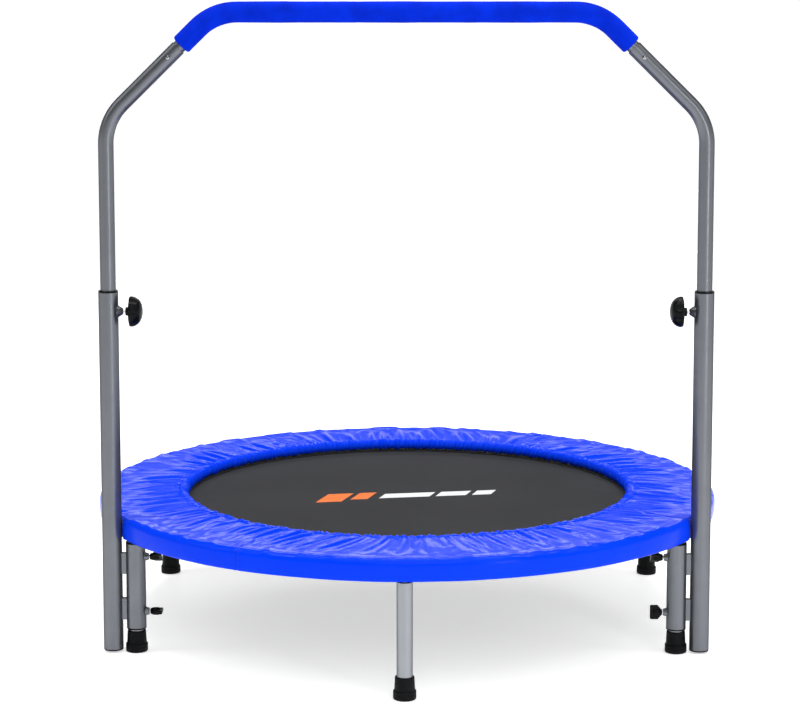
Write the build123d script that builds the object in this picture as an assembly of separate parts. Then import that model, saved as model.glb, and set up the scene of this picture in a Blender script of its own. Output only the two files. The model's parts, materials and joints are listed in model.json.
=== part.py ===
from build123d import *
import os
from math import cos, degrees, hypot, radians, sin

# Mini trampoline with a height-adjustable handlebar. Millimetres, +Z up, the floor at Z = 0,
# the ring's centre on the Z axis, the handlebar over the -Y half.

# ring frame
RING_R = 574.0
RING_Z = 222.0
RING_TUBE = 15.0
RING_WALL = 1.8
JOINT_GAP = 0.4
COUPLER_SWEEP = 9.0
JOINT_SCREW_AT = 2.6

# legs
LEG_ANGLES = {
    "front_right": 330.0,
    "back_right": 30.0,
    "back": 90.0,
    "back_left": 150.0,
    "front_left": 210.0,
    "front": 270.0,
}
LEG_R = 14.0
LEG_WALL = 1.5
LEG_TOP = RING_Z - RING_TUBE - 0.3
FOOT_TOP = 40.0
FOOT_R = 17.0
FOOT_FLANGE_R = 20.2
FOOT_FLANGE_TOP = 15.5
FOOT_FLOOR = 6.0
INSERT_DEPTH = 32.0
STUD_R = 6.0
STUD_BOTTOM = 168.0

# jumping mat and springs
MAT_R = 453.0
MAT_Z = 229.0
MAT_THICK = 1.4
WEB_R = 457.0
WEB_IN = 427.0
WEB_THICK = 1.5
SPRINGS = 36
SPRING_FIRST = 5.0
SPRING_Z = 223.4
SPRING_R = 8.0
WIRE_R = 1.3
SPRING_IN = 480.0
SPRING_OUT = 536.0
SPRING_RIBS = 16
RING_BAR_R = 468.0
RING_BASE_R = 448.0
RING_WIRE = 2.0
VEE_Z = MAT_Z - MAT_THICK / 2 - WEB_THICK - RING_WIRE
EYE_IN = 543.5
EYE_HOLE = 549.5
EYE_HOLE_R = 3.2
EYE_THICK = 3.0
EYE_WIDTH = 14.0

# safety pad
PAD_IN = 429.0
PAD_OUT = 592.0
PAD_TOP = 250.6
SKIRT_BOTTOM = 211.0
COVER = 1.0
FOAM_BOTTOM = 238.1
FOAM_IN = 435.0
ELASTIC_R = 1.7

# handle poles and leg sleeves
POLE_X = 540.0
POLE_Y = -RING_R * 0.5
SLEEVE_X = RING_R * cos(radians(30.0))
POLE_R = 18.0
POLE_WALL = 2.0
POLE_BOTTOM = 6.0
POLE_TOP = 668.0
BUSH_FLANGE = 3.8
BUSH_DEPTH = 28.0
SLEEVE_LOW = 46.0
SLEEVE_HIGH = 203.4
SLEEVE_FLANGE = 3.0
TABS = ((60.0, 100.0), (146.0, 185.0))
TAB_HALF = 5.0

# handle tubes
TUBE_R = 14.0
TUBE_WALL = 1.5
TUBE_LOW = 480.0
LOW_CORNER = (540.0, 978.7)
TOP_CORNER = (343.0, 1172.7)
BEND_R = 100.0
GRIP_END = 192.5
SIDE_END = 186.0
BUTTON_AT = 161.5
SWAGE_END = 126.0
SWAGE_R = 12.3
SWAGE_IN = 10.8
GRIP_R = 19.0
HEIGHT_HOLES = 5
HOLE_STEP = 55.0
RUN = 0.3

# clamp knobs
KNOB_Z = 633.0
NUT_LONG = 8.8
SCREW_SHOWN = 4.6
HUB_R = 7.8
HUB_LONG = 7.0
HEAD_LONG = 23.8
HEAD_R = 28.0
LOBES = 7
SCREW_R = 3.0
HOLE_R = 3.3
WING_Z = {"upper": 178.0, "lower": 75.0}
WING_NUT = 6.0
WING_GAP = 2.2
WING_LONG = 22.0
WING_WIDE = 26.0
WING_THICK = 7.0
WING_HUB = 7.3
WING_SCREW_R = 2.9
WING_HOLE_R = 3.2
WING_TURN = {
    ("left", "upper"): 52.0,
    ("left", "lower"): 90.0,
    ("right", "upper"): -48.0,
    ("right", "lower"): 0.0,
}

os.makedirs("parts", exist_ok=True)
pieces = {}


def rod(radius, start, end, bore=0.0):
    a, b = Vector(*start), Vector(*end)
    d = b - a
    face = Circle(radius)
    if bore:
        face = face - Circle(bore)
    return extrude(Plane(origin=a, z_dir=d) * face, amount=d.length)


def taper(r0, r1, start, end):
    a, b = Vector(*start), Vector(*end)
    d = b - a
    cone = Cone(r0, r1, d.length, align=(Align.CENTER, Align.CENTER, Align.MIN))
    return Plane(origin=a, z_dir=d) * cone


def lathe(points):
    return revolve(make_face(Plane.XZ * Polyline(*points, close=True)), Axis.Z)


def lathe_along(points, start, way):
    return Plane(origin=Vector(*start), z_dir=Vector(*way)) * lathe(points)


def ring_arc(outer, bore, first, sweep):
    face = Circle(outer)
    if bore:
        face = face - Circle(bore)
    return Rot(0, 0, first) * revolve(Plane.XZ * Pos(RING_R, RING_Z) * face, Axis.Z, sweep)


def polar(radius, angle, z):
    return (radius * cos(radians(angle)), radius * sin(radians(angle)), z)


def around(solid, count, first):
    step = 360.0 / count
    return [Rot(0, 0, first + step * i) * solid for i in range(count)]


def add(name, *solids):
    flat = []
    for s in solids:
        flat.extend(s.solids())
    pieces[name] = flat


# ---- ring frame: two half rings, joined by inner couplers -------------------------------
full_ring = ring_arc(RING_TUBE, 0, 0, 360)
gap_angle = degrees(JOINT_GAP / 2 / RING_R)
tube_front = ring_arc(RING_TUBE, RING_TUBE - RING_WALL, 180 + gap_angle, 180 - 2 * gap_angle)
tube_back = ring_arc(RING_TUBE, RING_TUBE - RING_WALL, gap_angle, 180 - 2 * gap_angle)
coupler_r = RING_TUBE - RING_WALL - 0.15
couplers = []
screws = []
for side in (0.0, 180.0):
    coupler = ring_arc(coupler_r, coupler_r - 2.0, side - COUPLER_SWEEP / 2, COUPLER_SWEEP)
    for offset in (-JOINT_SCREW_AT, JOINT_SCREW_AT):
        x, y, z = polar(RING_R, side + offset, RING_Z - RING_TUBE)
        hole = rod(2.7, (x, y, z - 6), (x, y, z + 9))
        tube_front = tube_front - hole
        tube_back = tube_back - hole
        coupler = coupler - hole
        shank = rod(2.5, (x, y, z - 1), (x, y, z + 6.5))
        head = taper(5.0, 3.6, (x, y, z - 0.1), (x, y, z - 3.2))
        slot = Pos(x, y, z - 3.2) * Box(1.2, 8, 1.6)
        screws.append(shank + head - slot)
    couplers.append(coupler)
add("frame_tube_front", tube_front)
add("frame_tube_back", tube_back)
add("frame_couplers", *couplers)
add("frame_joint_screws", *screws)

# ---- legs: screwed on to studs under the ring -------------------------------------------
studs = []
inserts = []
foot_profile = [
    (0, 0),
    (FOOT_FLANGE_R - 2.4, 0),
    (FOOT_FLANGE_R - 0.7, 0.7),
    (FOOT_FLANGE_R, 2.4),
    (FOOT_FLANGE_R, 9.2),
    (FOOT_FLANGE_R - 0.5, 9.6),
    (FOOT_FLANGE_R - 0.5, 10.2),
    (FOOT_FLANGE_R, 10.6),
    (FOOT_FLANGE_R, FOOT_FLANGE_TOP - 1.5),
    (FOOT_FLANGE_R - 0.6, FOOT_FLANGE_TOP),
    (FOOT_R + 1.1, FOOT_FLANGE_TOP),
    (FOOT_R, FOOT_TOP - 1.0),
    (FOOT_R - 0.8, FOOT_TOP),
    (LEG_R, FOOT_TOP),
    (LEG_R, FOOT_FLOOR),
    (0, FOOT_FLOOR),
]
foot = lathe(foot_profile)
for name, angle in LEG_ANGLES.items():
    x, y, _ = polar(RING_R, angle, 0)
    add("leg_" + name, rod(LEG_R, (x, y, FOOT_FLOOR), (x, y, LEG_TOP), LEG_R - LEG_WALL))
    add("foot_" + name, Pos(x, y, 0) * foot)
    stud = rod(STUD_R, (x, y, STUD_BOTTOM), (x, y, RING_Z)) - full_ring
    studs.append(stud.solids().sort_by(Axis.Z)[0])
    top = (x, y, LEG_TOP - 0.2)
    inserts.append(rod(LEG_R - LEG_WALL, (x, y, LEG_TOP - INSERT_DEPTH), top, STUD_R + 0.1))
add("leg_studs", *studs)
add("leg_inserts", *inserts)

# ---- jumping mat ------------------------------------------------------------------------
mat_low = MAT_Z - MAT_THICK / 2
mat_high = MAT_Z + MAT_THICK / 2
add("mat", rod(MAT_R, (0, 0, mat_low), (0, 0, mat_high)))
webbing = lathe(
    [
        (WEB_IN, mat_high),
        (MAT_R, mat_high),
        (MAT_R, mat_low),
        (WEB_IN, mat_low),
        (WEB_IN, mat_low - WEB_THICK),
        (WEB_R - 0.8, mat_low - WEB_THICK),
        (WEB_R, mat_low - WEB_THICK + 0.8),
        (WEB_R, mat_high + WEB_THICK - 0.8),
        (WEB_R - 0.8, mat_high + WEB_THICK),
        (WEB_IN, mat_high + WEB_THICK),
    ]
)
add("mat_webbing", webbing)


def wire(points, radius, fillet_r, closed=False):
    line = FilletPolyline(*points, radius=fillet_r, close=closed)
    start = line @ 0
    way = line % 0
    return sweep(Plane(origin=start, z_dir=way) * Circle(radius), path=line)


vee = wire(
    [
        (RING_BASE_R, 15, VEE_Z),
        (RING_BAR_R, 8, VEE_Z),
        (RING_BAR_R, -8, VEE_Z),
        (RING_BASE_R, -15, VEE_Z),
    ],
    RING_WIRE,
    3.5,
    True,
)
add("mat_rings", *around(vee, SPRINGS, SPRING_FIRST))

# ---- springs, one modelled and set round the ring ---------------------------------------
rib = (SPRING_OUT - SPRING_IN) / SPRING_RIBS
coil = [(SPRING_R - 2 * WIRE_R, 0)]
for i in range(SPRING_RIBS):
    coil.append((SPRING_R - 0.9, rib * i))
    coil.append((SPRING_R, rib * (i + 0.3)))
    coil.append((SPRING_R, rib * (i + 0.7)))
coil.append((SPRING_R - 0.9, rib * SPRING_RIBS))
coil.append((SPRING_R - 2 * WIRE_R, rib * SPRING_RIBS))
body = lathe_along(coil, (SPRING_IN, 0, SPRING_Z), (1, 0, 0))
over = RING_WIRE + WIRE_R + 0.1
hook_in = wire(
    [
        (SPRING_IN + 1.3, 0, SPRING_Z + SPRING_R - WIRE_R),
        (SPRING_IN - 2.6, 0, SPRING_Z + SPRING_R - WIRE_R),
        (SPRING_IN - 6.0, 0, VEE_Z + over),
        (RING_BAR_R - over, 0, VEE_Z + over),
        (RING_BAR_R - over, 0, VEE_Z - over),
        (RING_BAR_R + 2.5, 0, VEE_Z - over),
    ],
    WIRE_R,
    [1.5, 2.5, 3.2, 3.2],
)
eye_bar = (EYE_IN + EYE_HOLE - EYE_HOLE_R) / 2
reach = 3.5
hook_out = wire(
    [
        (SPRING_OUT - 1.3, 0, SPRING_Z + SPRING_R - WIRE_R),
        (SPRING_OUT + 1.6, 0, SPRING_Z + SPRING_R - WIRE_R),
        (SPRING_OUT + 4.6, 0, RING_Z + reach),
        (eye_bar + reach, 0, RING_Z + reach),
        (eye_bar + reach, 0, RING_Z - reach),
        (eye_bar - 2.4, 0, RING_Z - reach),
    ],
    WIRE_R,
    [1.5, 2.0, 3.2, 3.2],
)
spring = body + hook_in + hook_out
add("springs", *around(spring, SPRINGS, SPRING_FIRST))

eye_long = RING_R - RING_TUBE + 3.0 - EYE_IN
eye = Pos(EYE_IN + eye_long / 2, 0, RING_Z) * Box(eye_long, EYE_WIDTH, EYE_THICK)
eye = fillet(eye.edges().filter_by(Axis.Z).group_by(Axis.X)[0], 4.0)
eye = eye - rod(EYE_HOLE_R, (EYE_HOLE, 0, RING_Z - 5), (EYE_HOLE, 0, RING_Z + 5))
eye = eye - full_ring
eye = eye.solids().sort_by(Axis.X)[0]
add("spring_hooks", *around(eye, SPRINGS, SPRING_FIRST))

# ---- safety pad: foam ring in a sewn cover with a skirt ---------------------------------
foam_top = PAD_TOP - COVER
foam_out = PAD_OUT - COVER
add(
    "pad_foam",
    lathe(
        [
            (FOAM_IN, FOAM_BOTTOM + 2.5),
            (FOAM_IN + 2.5, FOAM_BOTTOM),
            (foam_out, FOAM_BOTTOM),
            (foam_out, foam_top - 4.0),
            (foam_out - 1.2, foam_top - 1.2),
            (foam_out - 4.0, foam_top),
            (FOAM_IN + 3.5, foam_top),
            (FOAM_IN, foam_top - 3.5),
        ]
    ),
)
hem = FOAM_BOTTOM - COVER
cover = lathe(
    [
        (PAD_IN + 2.5, hem),
        (PAD_IN + 70.0, hem),
        (PAD_IN + 70.0, FOAM_BOTTOM),
        (FOAM_IN + 2.5, FOAM_BOTTOM),
        (FOAM_IN, FOAM_BOTTOM + 2.5),
        (FOAM_IN, foam_top - 3.5),
        (FOAM_IN + 3.5, foam_top),
        (foam_out - 4.0, foam_top),
        (foam_out - 1.2, foam_top - 1.2),
        (foam_out, foam_top - 4.0),
        (foam_out, SKIRT_BOTTOM),
        (PAD_OUT, SKIRT_BOTTOM),
        (PAD_OUT, PAD_TOP - 4.4),
        (PAD_OUT - 1.5, PAD_TOP - 1.5),
        (PAD_OUT - 4.4, PAD_TOP),
        (PAD_IN + 3.0, PAD_TOP),
        (PAD_IN + 0.8, PAD_TOP - 0.9),
        (PAD_IN, PAD_TOP - 3.2),
        (PAD_IN, hem + 2.5),
    ]
)
elastic_at = (PAD_IN + FOAM_IN) / 2
elastic_z = (hem + PAD_TOP) / 2 + 1.0
hem_room = revolve(Plane.XZ * Pos(elastic_at, elastic_z) * Circle(ELASTIC_R + 0.05), Axis.Z)
add("pad_cover", cover - hem_room)
add("pad_elastic", revolve(Plane.XZ * Pos(elastic_at, elastic_z) * Circle(ELASTIC_R), Axis.Z))

# ---- handle poles, leg sleeves and what is welded or pressed on to them -----------------
tube_in = POLE_R - POLE_WALL
pole_bushes = []
pole_caps = []
sleeve_bushes = []
glides = []
handle_nuts = []
wing_nuts = []
for side, s in (("left", -1), ("right", 1)):
    px, sx = s * POLE_X, s * SLEEVE_X
    y = POLE_Y
    inward = (-s, 0, 0)
    face = px - s * POLE_R
    pole_solid = rod(POLE_R, (px, y, POLE_BOTTOM), (px, y, POLE_TOP))
    pole = pole_solid - rod(tube_in, (px, y, 0), (px, y, POLE_TOP + 1))
    handle_hole = rod(HOLE_R, (face + s * 6, y, KNOB_Z), (face - s * 12, y, KNOB_Z))
    add("pole_tube_" + side, pole - handle_hole)
    nut_face = face - s * NUT_LONG
    nut = taper(12.2, 5.2, (face + s * 2, y, KNOB_Z), (nut_face, y, KNOB_Z))
    nut = fillet(nut.edges().sort_by(Axis.X)[-1 if s < 0 else 0], 0.8)
    handle_nuts.append(nut - pole_solid - handle_hole)

    sleeve_solid = rod(POLE_R, (sx, y, SLEEVE_LOW), (sx, y, SLEEVE_HIGH))
    sleeve = sleeve_solid - rod(tube_in, (sx, y, 0), (sx, y, 300))
    sleeve_face = sx - s * POLE_R
    for level in WING_Z.values():
        hole = rod(WING_HOLE_R, (sleeve_face + s * 6, y, level), (sleeve_face - s * 9, y, level))
        sleeve = sleeve - hole
        low = (sleeve_face + s * 1.4, y, level)
        nut = taper(8.2, 6.2, low, (sleeve_face - s * WING_NUT, y, level))
        wing_nuts.append(nut - sleeve_solid - hole)
    add("leg_sleeve_" + side, sleeve)
    tabs = []
    for low, high in TABS:
        block = Box(abs(px - sx), 2 * TAB_HALF, high - low)
        tab = Pos((px + sx) / 2, y, (low + high) / 2) * block
        tab = fillet(tab.edges().filter_by(Axis.Y), 4.0)
        tabs.append(tab - pole_solid - sleeve_solid)
    add("sleeve_tabs_" + side, *tabs)

    bush_out = tube_in
    pole_bushes.append(
        Pos(px, y, POLE_TOP)
        * lathe(
            [
                (TUBE_R + RUN, -BUSH_DEPTH),
                (bush_out, -BUSH_DEPTH),
                (bush_out, 0),
                (POLE_R, 0),
                (POLE_R, BUSH_FLANGE - 1.0),
                (POLE_R - 1.0, BUSH_FLANGE),
                (TUBE_R + RUN + 0.8, BUSH_FLANGE),
                (TUBE_R + RUN, BUSH_FLANGE - 0.8),
            ]
        )
    )
    cap = rod(tube_in, (px, y, POLE_BOTTOM), (px, y, POLE_BOTTOM + 14), tube_in - 2.2)
    base = rod(POLE_R, (px, y, 3.0), (px, y, POLE_BOTTOM))
    pole_caps.append(cap + fillet(base.edges().group_by(Axis.Z)[0], 1.2))
    collar = [
        (LEG_R, -12.0),
        (tube_in, -12.0),
        (tube_in, 0),
        (POLE_R, 0),
        (POLE_R, SLEEVE_FLANGE - 0.7),
        (POLE_R - 0.7, SLEEVE_FLANGE),
        (LEG_R, SLEEVE_FLANGE),
    ]
    sleeve_bushes.append(lathe_along(collar, (sx, y, SLEEVE_HIGH), (0, 0, 1)))
    sleeve_bushes.append(lathe_along(collar, (sx, y, SLEEVE_LOW), (0, 0, -1)))
    glides.append(
        Pos(px, y, TUBE_LOW)
        * lathe(
            [
                (TUBE_R - 3.0, -2.5),
                (tube_in - RUN - 1.0, -2.5),
                (tube_in - RUN, -1.5),
                (tube_in - RUN, 27.0),
                (tube_in - RUN - 1.0, 28.0),
                (TUBE_R, 28.0),
                (TUBE_R, 0),
                (TUBE_R - 3.0, 0),
            ]
        )
    )
add("pole_bushings", *pole_bushes)
add("pole_end_caps", *pole_caps)
add("sleeve_bushings", *sleeve_bushes)
add("tube_glides", *glides)
add("handle_weld_nuts", *handle_nuts)
add("wing_weld_nuts", *wing_nuts)

# ---- handle: bent side tubes, top bar, grip ---------------------------------------------
span = hypot(TOP_CORNER[0] - LOW_CORNER[0], TOP_CORNER[1] - LOW_CORNER[1])
ux = (TOP_CORNER[0] - LOW_CORNER[0]) / span
uz = (TOP_CORNER[1] - LOW_CORNER[1]) / span


def slant(s, along, off=0.0):
    """A point of the slanting length, measured from the lower corner, off it by off to +Y."""
    x = s * (LOW_CORNER[0] + ux * along)
    return (x, POLE_Y + off, LOW_CORNER[1] + uz * along)


def bent(points, radius):
    return wire(points, radius, BEND_R)


for side, s in (("left", -1), ("right", 1)):
    foot_end = (s * LOW_CORNER[0], POLE_Y, TUBE_LOW)
    corner = slant(s, 0)
    tube = bent([foot_end, corner, slant(s, SIDE_END)], TUBE_R)
    tube = tube - bent([foot_end, corner, slant(s, SIDE_END)], TUBE_R - TUBE_WALL)
    for i in range(HEIGHT_HOLES):
        level = KNOB_Z + HOLE_STEP * i
        x = s * POLE_X
        tube = tube - rod(4.6, (x - s * 8, POLE_Y, level), (x - s * 20, POLE_Y, level))
    tube = tube - rod(4.2, slant(s, BUTTON_AT, -8), slant(s, BUTTON_AT, -20))
    add("side_tube_" + side, tube)

swage_to = GRIP_END + 4.0
full_from = GRIP_END + 12.0
corners = [slant(-1, full_from), slant(-1, span), slant(1, span), slant(1, full_from)]
bar = bent(corners, TUBE_R) - bent(corners, TUBE_R - TUBE_WALL)
for s in (-1, 1):
    cone = taper(SWAGE_R, TUBE_R, slant(s, swage_to), slant(s, full_from))
    cone = cone - taper(SWAGE_IN, TUBE_R - TUBE_WALL, slant(s, swage_to), slant(s, full_from))
    end = rod(SWAGE_R, slant(s, SWAGE_END), slant(s, swage_to), SWAGE_IN)
    end = end - rod(4.2, slant(s, BUTTON_AT, -6), slant(s, BUTTON_AT, -20))
    bar = bar + cone + end
add("crossbar_tube", bar)

ends = [slant(-1, GRIP_END), slant(-1, span), slant(1, span), slant(1, GRIP_END)]
grip = bent(ends, GRIP_R)
rims = grip.edges().filter_by(GeomType.CIRCLE)
rims = [e for e in rims if abs(e.radius - GRIP_R) < 0.01 and e.center().Z < 1120.0]
grip = fillet(rims, 2.0)
grip = grip - bent(ends, TUBE_R)
add("foam_grip", grip)

# ---- snap buttons on their leaf springs, inside the joints of the handle ----------------
for side, s in (("left", -1), ("right", 1)):
    at = slant(s, BUTTON_AT)
    button = lathe_along(
        [(0, 7.2), (4.9, 7.2), (4.9, 8.6), (3.8, 8.6), (3.8, 16.4), (3.3, 17.4), (2.0, 18.1), (0, 18.4)],
        at,
        (0, -1, 0),
    )
    add("snap_button_" + side, button)
    leaf = [
        (BUTTON_AT - 8, 7.0),
        (BUTTON_AT + 8, 7.0),
        (BUTTON_AT + 27, 3.4),
        (BUTTON_AT + 30, 1.5),
        (BUTTON_AT + 30, -1.5),
        (BUTTON_AT + 27, -3.4),
        (BUTTON_AT - 8, -9.0),
        (BUTTON_AT - 8, -8.2),
        (BUTTON_AT + 26.6, -2.6),
        (BUTTON_AT + 29.2, -1.2),
        (BUTTON_AT + 29.2, 1.2),
        (BUTTON_AT + 26.6, 2.6),
        (BUTTON_AT + 8, 6.2),
        (BUTTON_AT - 8, 6.2),
    ]
    way = Vector(s * ux, 0, uz)
    plane = Plane(origin=Vector(*slant(s, 0)), x_dir=way, z_dir=way.cross(Vector(0, -1, 0)))
    strip = make_face(plane * Polyline(*leaf, close=True))
    add("snap_spring_" + side, extrude(strip, amount=4.0, both=True))

# ---- star knobs that clamp the handle's height ------------------------------------------
r = HEAD_R
head_profile = [
    (0, 3.0),
    (HUB_R, 3.0),
    (HUB_R + 0.6, HUB_LONG + 9.0),
    (r - 9.0, HUB_LONG + 9.0),
    (r - 7.4, HUB_LONG),
    (r - 1.4, HUB_LONG),
    (r - 0.3, HUB_LONG + 1.2),
    (r, HUB_LONG + 3.4),
    (r - 0.2, HUB_LONG + 6.0),
    (r - 1.1, HUB_LONG + 9.2),
    (r - 2.8, HUB_LONG + 12.6),
    (r - 5.6, HUB_LONG + 16.2),
    (r - 9.6, HUB_LONG + 19.4),
    (r - 14.8, HUB_LONG + 21.8),
    (r - 21.0, HUB_LONG + 23.3),
    (0, HUB_LONG + HEAD_LONG),
]
star = lathe(head_profile)
star = star + rod(HUB_R, (0, 0, 0), (0, 0, 4))
for i in range(LOBES):
    a = 360.0 / LOBES * i
    x, y = (r + 5.2) * cos(radians(a)), (r + 5.2) * sin(radians(a))
    star = star - taper(8.4, 11.4, (x, y, HUB_LONG - 1), (x, y, HUB_LONG + 27))
star = star - rod(SCREW_R, (0, 0, -1), (0, 0, 20))
nut_face = POLE_R + NUT_LONG
for side, s in (("left", -1), ("right", 1)):
    start = s * (POLE_X - nut_face - SCREW_SHOWN)
    turn = Plane(origin=Vector(start, POLE_Y, KNOB_Z), z_dir=Vector(-s, 0, 0))
    add("handle_knob_" + side, turn * Rot(0, 0, 12.0 * s) * star)
    tip = s * (POLE_X - TUBE_R - 0.4)
    deep = start - s * 20.0
    shank = rod(SCREW_R, (deep, POLE_Y, KNOB_Z), (tip, POLE_Y, KNOB_Z))
    add("handle_screw_" + side, chamfer(shank.edges().group_by(Axis.X)[0 if s < 0 else -1], 0.8))

# ---- wing knobs that clamp the sleeves on to the legs -----------------------------------
w = WING_WIDE / 2
outline = [
    (4.2, 0),
    (w, 8.0),
    (w, WING_LONG - 1.6),
    (w - 1.6, WING_LONG),
    (-w + 1.6, WING_LONG),
    (-w, WING_LONG - 1.6),
    (-w, 8.0),
    (-4.2, 0),
]
blade = extrude(make_face(Plane.XZ * Polyline(*outline, close=True)), WING_THICK / 2, both=True)
blade = chamfer(blade.edges().filter_by(Axis.Y, reverse=True), 0.9)
hub = lathe([(0, 0), (5.4, 0), (WING_HUB, 6.0), (WING_HUB, 14.0), (5.6, 17.0), (0, 18.0)])
wing = blade + hub - rod(WING_SCREW_R, (0, 0, -1), (0, 0, 13))
for side, s in (("left", -1), ("right", 1)):
    for level, z in WING_Z.items():
        start = s * (SLEEVE_X - POLE_R - WING_NUT - WING_GAP)
        turn = Plane(origin=Vector(start, POLE_Y, z), x_dir=Vector(0, 0, 1), z_dir=Vector(-s, 0, 0))
        name = side + "_" + level
        add("wing_knob_" + name, turn * Rot(0, 0, WING_TURN[side, level]) * wing)
        tip = s * (SLEEVE_X - LEG_R - 0.4)
        deep = start - s * 13.0
        shank = rod(WING_SCREW_R, (deep, POLE_Y, z), (tip, POLE_Y, z))
        add("wing_screw_" + name, chamfer(shank.edges().group_by(Axis.X)[0 if s < 0 else -1], 0.6))

for name, solids in pieces.items():
    shape = solids[0] if len(solids) == 1 else Compound(children=solids)
    export_step(shape, "parts/" + name + ".step")
print(len(pieces), "nodes,", sum(len(v) for v in pieces.values()), "solids")
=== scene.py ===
import json
import math

import bpy
import numpy as np
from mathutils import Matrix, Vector


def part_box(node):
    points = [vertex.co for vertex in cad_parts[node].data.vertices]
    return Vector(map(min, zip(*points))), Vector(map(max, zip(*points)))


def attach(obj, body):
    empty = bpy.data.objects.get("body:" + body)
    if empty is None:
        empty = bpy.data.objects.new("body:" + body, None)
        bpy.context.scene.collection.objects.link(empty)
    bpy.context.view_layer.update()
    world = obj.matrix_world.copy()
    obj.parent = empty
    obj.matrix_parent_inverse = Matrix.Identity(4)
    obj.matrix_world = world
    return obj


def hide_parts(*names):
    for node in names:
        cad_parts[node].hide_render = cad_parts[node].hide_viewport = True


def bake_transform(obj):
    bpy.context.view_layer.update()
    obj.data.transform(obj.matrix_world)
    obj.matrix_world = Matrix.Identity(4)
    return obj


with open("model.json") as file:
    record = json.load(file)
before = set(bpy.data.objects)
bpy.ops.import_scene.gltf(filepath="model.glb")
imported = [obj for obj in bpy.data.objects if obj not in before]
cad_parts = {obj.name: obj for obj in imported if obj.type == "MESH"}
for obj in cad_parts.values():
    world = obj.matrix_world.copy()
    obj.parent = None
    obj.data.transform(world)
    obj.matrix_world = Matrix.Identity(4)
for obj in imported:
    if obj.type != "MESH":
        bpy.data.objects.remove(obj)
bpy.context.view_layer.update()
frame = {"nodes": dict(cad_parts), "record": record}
nodes = frame["nodes"]
rng = np.random.default_rng(11)


# ------------------------------------------------------------------ dimensions from the frame
cover_low, cover_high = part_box("pad_cover")
foam_low, foam_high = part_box("pad_foam")
mat_low, mat_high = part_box("mat")
web_low, web_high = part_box("mat_webbing")
vee_low, vee_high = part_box("mat_rings")
eye_low, eye_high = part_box("spring_hooks")
spr_low, spr_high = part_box("springs")
bar_low, bar_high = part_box("foam_grip")
PAD_OUT = (cover_high[0] - cover_low[0]) / 2
PAD_TOP = cover_high[2]
SKIRT_LOW = cover_low[2]
FOAM_LOW = foam_low[2]
MAT_R = (mat_high[0] - mat_low[0]) / 2
MAT_Z = (mat_high[2] + mat_low[2]) / 2
WEB_R = (web_high[0] - web_low[0]) / 2
VEE_Z = (vee_low[2] + vee_high[2]) / 2
EYE_Z = (eye_low[2] + eye_high[2]) / 2
SPR_Z = (spr_low[2] + spr_high[2]) / 2 + 0.0002
PAD_IN = 0.429  # inner edge of the pad's cover
SPRINGS = 36
SPRING_FIRST = 5.0  # degrees round the ring


# ------------------------------------------------------------------ materials
def links(mat):
    return mat.node_tree.nodes, mat.node_tree.links


def new_mat(name, color, rough, metallic=0.0, **extra):
    m = bpy.data.materials.new(name)
    m.use_nodes = True
    n, _ = links(m)
    p = n["Principled BSDF"]
    p.inputs["Base Color"].default_value = (*color, 1)
    p.inputs["Roughness"].default_value = rough
    p.inputs["Metallic"].default_value = metallic
    for key, value in extra.items():
        p.inputs[key.replace("_", " ")].default_value = value
    return m


def node(m, kind, **values):
    n, _ = links(m)
    made = n.new(kind)
    for key, value in values.items():
        if key in made.inputs:
            made.inputs[key].default_value = value
        else:
            setattr(made, key, value)
    return made


def link(m, a, b):
    links(m)[1].new(a, b)


def coords(m):
    return node(m, "ShaderNodeTexCoord").outputs["Object"]


def noise(m, scale, detail=3.0, distortion=0.0):
    t = node(m, "ShaderNodeTexNoise", Scale=scale, Detail=detail, Roughness=0.5, Distortion=distortion)
    link(m, coords(m), t.inputs["Vector"])
    return t.outputs["Fac"]


def remap(m, value, low, high, from_low=0.0, from_high=1.0):
    t = node(m, "ShaderNodeMapRange")
    t.inputs["From Min"].default_value = from_low
    t.inputs["From Max"].default_value = from_high
    t.inputs["To Min"].default_value = low
    t.inputs["To Max"].default_value = high
    link(m, value, t.inputs["Value"])
    return t.outputs["Result"]


def math_node(m, op, a, b=None):
    t = node(m, "ShaderNodeMath", operation=op)
    for i, v in enumerate((a, b)):
        if v is None:
            continue
        if isinstance(v, (int, float)):
            t.inputs[i].default_value = v
        else:
            link(m, v, t.inputs[i])
    return t.outputs[0]


def mix_color(m, fac, a, b):
    t = node(m, "ShaderNodeMix", data_type="RGBA")
    link(m, fac, t.inputs["Factor"])
    for key, v in (("A", a), ("B", b)):
        socket = [s for s in t.inputs if s.name == key and s.type == "RGBA"][0]
        if isinstance(v, tuple):
            socket.default_value = (*v, 1)
        else:
            link(m, v, socket)
    return [s for s in t.outputs if s.type == "RGBA"][0]


def bump(m, height, distance, strength=1.0, normal=None):
    t = node(m, "ShaderNodeBump", Distance=distance, Strength=strength)
    link(m, height, t.inputs["Height"])
    if normal is not None:
        link(m, normal, t.inputs["Normal"])
    return t.outputs["Normal"]


def shader(m):
    return links(m)[0]["Principled BSDF"]


def set_in(m, name, value):
    link(m, value, shader(m).inputs[name])


def silver_paint(name="silver_paint", dark=(0.122, 0.129, 0.143), light=(0.186, 0.196, 0.213)):
    m = new_mat(name, (0.3, 0.31, 0.33), 0.34, 0.8)
    shader(m).inputs["Specular IOR Level"].default_value = 0.2
    shader(m).inputs["Specular Tint"].default_value = (0.2, 0.2, 0.21, 1)
    flake = noise(m, 1800, 2)
    cloud = noise(m, 14, 3)
    tone = math_node(m, "ADD", remap(m, flake, -0.16, 0.16), remap(m, cloud, -0.18, 0.18))
    tone = math_node(m, "ADD", tone, 0.5)
    set_in(m, "Base Color", mix_color(m, tone, dark, light))
    set_in(m, "Roughness", remap(m, noise(m, 60, 4), 0.28, 0.38, 0.3, 0.7))
    peel = noise(m, 420, 2)
    set_in(m, "Normal", bump(m, peel, 0.00001))
    return m


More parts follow.
